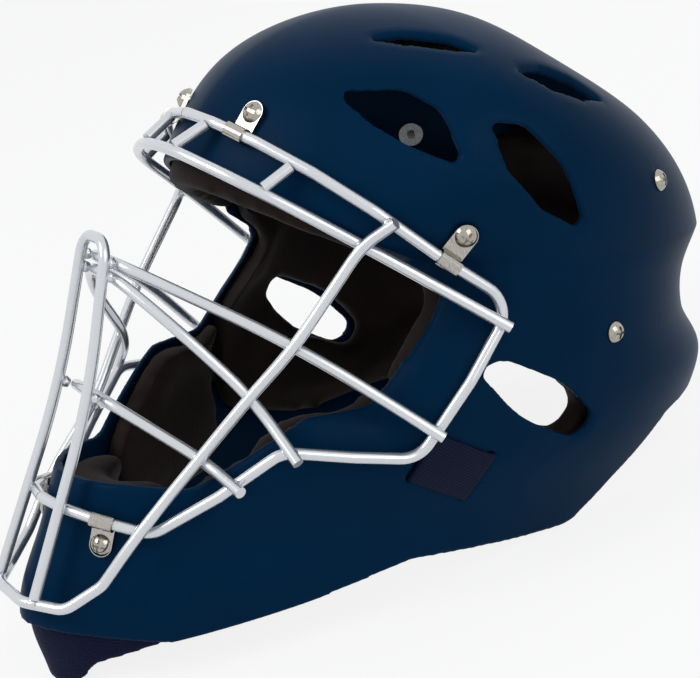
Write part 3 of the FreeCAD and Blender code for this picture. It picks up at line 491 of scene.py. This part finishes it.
# Face cage: 4.8 mm steel wire, bent cold, resistance-welded where the bars cross and powder
# coated silver. The coating is smooth, with a fine metal flake.
silver_coat, tree, shader, place = new_material("silver_powder_coated_steel", Metallic=0.7)
FLAKE_MM = 0.8
flake = add_node(tree, "ShaderNodeTexNoise", {"Vector": place}, Scale=1 / (FLAKE_MM * mm), Detail=2.0)
tone = ramp(tree, flake.outputs["Fac"], [(0.3, "#D0D3D8"), (0.7, "#D6D9DD")])
tree.links.new(tone, shader.inputs["Base Color"])
haze = add_node(tree, "ShaderNodeMapRange", {"Value": flake.outputs["Fac"]}, To_Min=0.2, To_Max=0.23)
tree.links.new(haze.outputs[0], shader.inputs["Roughness"])
raised(tree, shader, flake.outputs["Fac"], 0.02, 0.05 * mm)


def dress(node, material):
    """A CAD node keeps its shape and gets a material."""
    mesh = frame["nodes"][node].data
    mesh.materials.clear()
    mesh.materials.append(material)


CAGE = ("cage_ring", "cage_centre_bars", "cage_brow_bar", "cage_eye_bar", "cage_jaw_bar",
        "cage_cross_bar", "cage_side_bars", "cage_brow_struts")
for bar in CAGE:
    dress(bar, silver_coat)

# Each weld leaves a small lump of metal in the crevice between two wires, under the coating
WIRE = 4.8
RING_LIFT = 4.6
BEAD_RADIUS = 2.3
BEAD_RIPPLE = 0.06
WELDS = [(79.2, -42.6, 60.3), (72.5, -69, 21), (62, -84.5, -1), (51, -101.5, -27),
         (12.3, -121.6, 50), (12.6, -122.4, 44.4), (15.5, -132.1, -5), (19, -164.3, -87)]
ON_RING = [(110, 6, 28.5), (106.4, -23.2, -13.9), (85.1, -77.4, -20.9), (72.8, -96.9, -34.1),
           (90.5, -37.2, 69.5), (46.6, -128, -54.9)]
on_ring = onto_skin(np.array(ON_RING), RING_LIFT + WIRE / 2)[0]
contacts = np.vstack([np.array(WELDS, float), on_ring])
chance = np.random.default_rng(11)
beads = bmesh.new()
for x, y, z in contacts:
    for side in (1, -1):
        lump = bmesh.ops.create_icosphere(beads, subdivisions=3, radius=BEAD_RADIUS)["verts"]
        swing = chance.uniform(0, math.tau, 3)
        for vert in lump:
            ripple = sum(math.sin(3 * vert.co[k] + swing[k]) for k in range(3))
            vert.co = vert.co * (1 + BEAD_RIPPLE * ripple) + Vector((side * x, y, z))
bead_mesh = bpy.data.meshes.new("weld_beads")
beads.to_mesh(bead_mesh)
beads.free()
welds = bpy.data.objects.new("weld_beads", bead_mesh)
bpy.context.scene.collection.objects.link(welds)
set_places(welds, np.array([vert.co for vert in bead_mesh.vertices]))
finished(welds, silver_coat, "cage_wire")


# Clips, screws and tee nuts: bright nickel on spring steel and steel screws, plain zinc on the
# hidden nuts. The bends of the clips and the screw heads show soft reflections and fine scratches.
SCRATCH_WIDTH_MM = 1 / 2.6
SCRATCH_LENGTH_MM = 2.0


def plated(name, low, high, rough_low, rough_high):
    """Plated steel with fine scratches, between two tones and two roughnesses."""
    material, tree, shader, place = new_material(name, Metallic=1.0)
    fine = 1 / (SCRATCH_WIDTH_MM * mm)
    long_way = add_node(tree, "ShaderNodeMapping", {"Vector": place},
                        Scale=(fine, fine, 1 / (SCRATCH_LENGTH_MM * mm)))
    scratch = add_node(tree, "ShaderNodeTexNoise", {"Vector": long_way.outputs[0]},
                       Scale=1.0, Detail=3.0)
    tone = ramp(tree, scratch.outputs["Fac"], [(0.35, low), (0.65, high)])
    tree.links.new(tone, shader.inputs["Base Color"])
    rough = add_node(tree, "ShaderNodeMapRange", {"Value": scratch.outputs["Fac"]},
                     To_Min=rough_low, To_Max=rough_high)
    tree.links.new(rough.outputs[0], shader.inputs["Roughness"])
    return material


nickel_strip = plated("bright_nickel_strip", "#9F9C96", "#B9B6AF", 0.12, 0.18)
nickel_screw = plated("bright_nickel_screw", "#96928A", "#B2AEA5", 0.08, 0.14)
zinc_nut = plated("zinc_plated_nut", "#7C7F82", "#9EA1A3", 0.3, 0.45)
for side in ("left", "right"):
    for clip in ("brow", "temple", "chin"):
        dress("%s_clip_%s" % (clip, side), nickel_strip)
for group in ("clip", "back"):
    dress(group + "_screws", nickel_screw)
    dress(group + "_tee_nuts", zinc_nut)


# Foam pads: cut foam faced with a dark brown brushed knit, glued inside the shell. The facing
# is pulled tight over rounded edges, so each pad is a soft crowned cushion.
brushed_knit, tree, shader, place = new_material(
    "brown_brushed_knit", Roughness=0.78, Specular_IOR_Level=0.15, Sheen_Weight=0.04, Sheen_Roughness=0.5)
KNIT_MM = 1.1
patch = add_node(tree, "ShaderNodeTexNoise", {"Vector": place}, Scale=38.0, Detail=4.0)
stitch = add_node(tree, "ShaderNodeTexVoronoi", {"Vector": place}, Scale=1 / (KNIT_MM * mm))
tone = ramp(tree, patch.outputs["Fac"], [(0.3, "#0D0504"), (0.7, "#1C110D")])
tree.links.new(tone, shader.inputs["Base Color"])
raised(tree, shader, stitch.outputs["Distance"], 0.35, 0.4 * mm)

PAD_GRID = 4.5
PAD_SWELL = 2.5
PAD_PRESSURE = 4.0
PAD_FRAMES = 20
TINY = 1e-6


def stuffed(node, name):
    """A pad with its edges drawn in and its inner face swollen, by a short cloth simulation."""
    piece = remeshed(copy_of(node, name), PAD_GRID * mm)
    start = places_of(piece)
    pairs = edge_pairs(piece)
    start = relaxed(start, pairs, 3)
    set_places(piece, start)
    swollen = start
    cloth = piece.modifiers.new("cloth", "CLOTH")
    cloth.settings.use_pressure = True
    cloth.settings.uniform_pressure_force = PAD_PRESSURE
    cloth.settings.effector_weights.gravity = 0
    cloth.settings.quality = 4
    cloth.collision_settings.use_collision = False
    for number in range(1, PAD_FRAMES + 1):
        bpy.context.scene.frame_set(number)
    piece = modified(piece)
    bpy.context.scene.frame_set(1)
    swollen = places_of(piece)
    normal = onto_skin(start, 0)[1]
    move = swollen - start
    outward = (move * normal).sum(1)
    move = move - normal * np.maximum(outward, 0)[:, None]
    size = np.linalg.norm(move, axis=1)
    move = move * (np.minimum(size, PAD_SWELL) / np.maximum(size, TINY))[:, None]
    set_places(piece, start + move - normal * turned_in(start)[:, None])
    finer = piece.modifiers.new("finer", "SUBSURF")
    finer.levels = 1
    finer.render_levels = 1
    return modified(piece)


for node in ("forehead_pad", "crown_pad", "back_pad", "side_pad_left", "side_pad_right",
             "jaw_pad_left", "jaw_pad_right", "chin_pad"):
    pad = stuffed(node, node + "_foam")
    finished(pad, brushed_knit, "pad_foam", node)


# Throat guard: a flexible skirt of closed foam under a grained navy skin, tucked inside the chin
# and hanging below the shell's rim. Its grain is coarse enough to sparkle a little.
grained_skin, tree, shader, place = new_material(
    "grained_navy_vinyl", Roughness=0.62, Specular_IOR_Level=0.08)
GRAIN_MM = 0.9
grain = add_node(tree, "ShaderNodeTexVoronoi", {"Vector": place}, Scale=1 / (GRAIN_MM * mm))
tone = ramp(tree, grain.outputs["Distance"], [(0.1, "#01061A"), (0.6, "#081230")])
tree.links.new(tone, shader.inputs["Base Color"])
raised(tree, shader, grain.outputs["Distance"], 0.5, 0.5 * mm)
GUARD_GRID = 1.2
guard = remeshed(copy_of("throat_guard", "throat_skirt"), GUARD_GRID * mm)
guard_pairs = edge_pairs(guard)
set_places(guard, relaxed(evened(places_of(guard), guard_pairs, 20), guard_pairs, 6))
finished(guard, grained_skin, "guard_rubber", "throat_guard")


# Elastic straps: 24 mm woven navy webbing that leaves the shell through one slot, runs flat
# over it and goes back in through the next. It is stretched, so it lies close to the shell.
navy_twill, tree, shader, place = new_material(
    "navy_twill_webbing", Roughness=0.6, Specular_IOR_Level=0.1)
RIB_MM = 1.0
WAVE_PHASE = 20        # the wave texture's phase for each unit of place at scale 1, in radians
STRAP_GRID = 0.5
ribs = add_node(tree, "ShaderNodeTexWave", {"Vector": place}, Scale=math.tau / (WAVE_PHASE * RIB_MM * mm),
                bands_direction="DIAGONAL", Distortion=0.6, Detail_Scale=40.0)
tone = ramp(tree, ribs.outputs["Fac"], [(0.2, "#030718"), (0.8, "#0B1738")])
tree.links.new(tone, shader.inputs["Base Color"])
raised(tree, shader, ribs.outputs["Fac"], 0.6, 0.4 * mm)

for side in ("left", "right"):
    strap = remeshed(copy_of("elastic_strap_" + side, "webbing_" + side), STRAP_GRID * mm)
    set_places(strap, relaxed(places_of(strap), edge_pairs(strap), 4))
    finished(strap, navy_twill, "strap_webbing", "elastic_strap_" + side)
